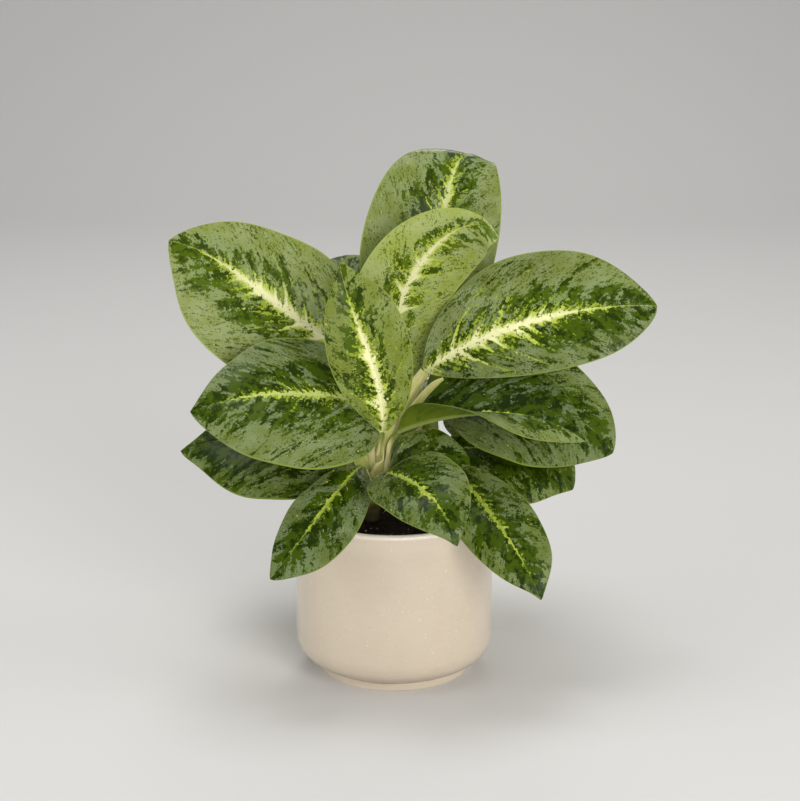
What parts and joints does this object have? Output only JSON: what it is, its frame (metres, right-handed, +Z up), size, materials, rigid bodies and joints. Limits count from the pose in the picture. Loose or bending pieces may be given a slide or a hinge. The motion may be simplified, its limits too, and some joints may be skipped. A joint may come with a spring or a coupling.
{
  "type": "potted chinese evergreen",
  "caption": "House plant with broad mottled leaves on short upright stems, growing from dark soil in a round cream ceramic pot with a plain foot ring.",
  "frame": {"origin": "centre of the pot's flat foot, on the surface that the pot stands on", "axes": "+Z up along the pot's axis; -Y towards the front, the side with the lowest leaves over the rim; +X to the right seen from the front"},
  "size_m": [0.3347, 0.2923, 0.359],
  "materials": {
    "cream_ceramic": "satin",
    "dark_soil": "matte",
    "mottled_leaf": "satin",
    "pale_stem": "satin"
  },
  "bodies": {
    "root": {"pot": "cream_ceramic", "soil": "dark_soil", "stem_front": "pale_stem", "stem_right": "pale_stem", "stem_back": "pale_stem", "leaf_top_back": "mottled_leaf", "leaf_upper_centre": "mottled_leaf", "leaf_front_centre": "mottled_leaf", "leaf_upper_left": "mottled_leaf", "leaf_upper_right": "mottled_leaf", "leaf_middle_left": "mottled_leaf", "leaf_lower_left": "mottled_leaf", "leaf_rim_left": "mottled_leaf", "leaf_rim_front": "mottled_leaf", "leaf_rim_right": "mottled_leaf", "leaf_folded_right": "mottled_leaf", "leaf_middle_right": "mottled_leaf", "leaf_lower_right": "mottled_leaf", "leaf_inner_front": "mottled_leaf", "leaf_back_centre": "mottled_leaf", "leaf_back_right": "mottled_leaf", "leaf_back_left": "mottled_leaf", "leaf_back_low": "mottled_leaf", "leaf_back_left_low": "mottled_leaf", "leaf_back_right_low": "mottled_leaf"}
  },
  "joints": []
}
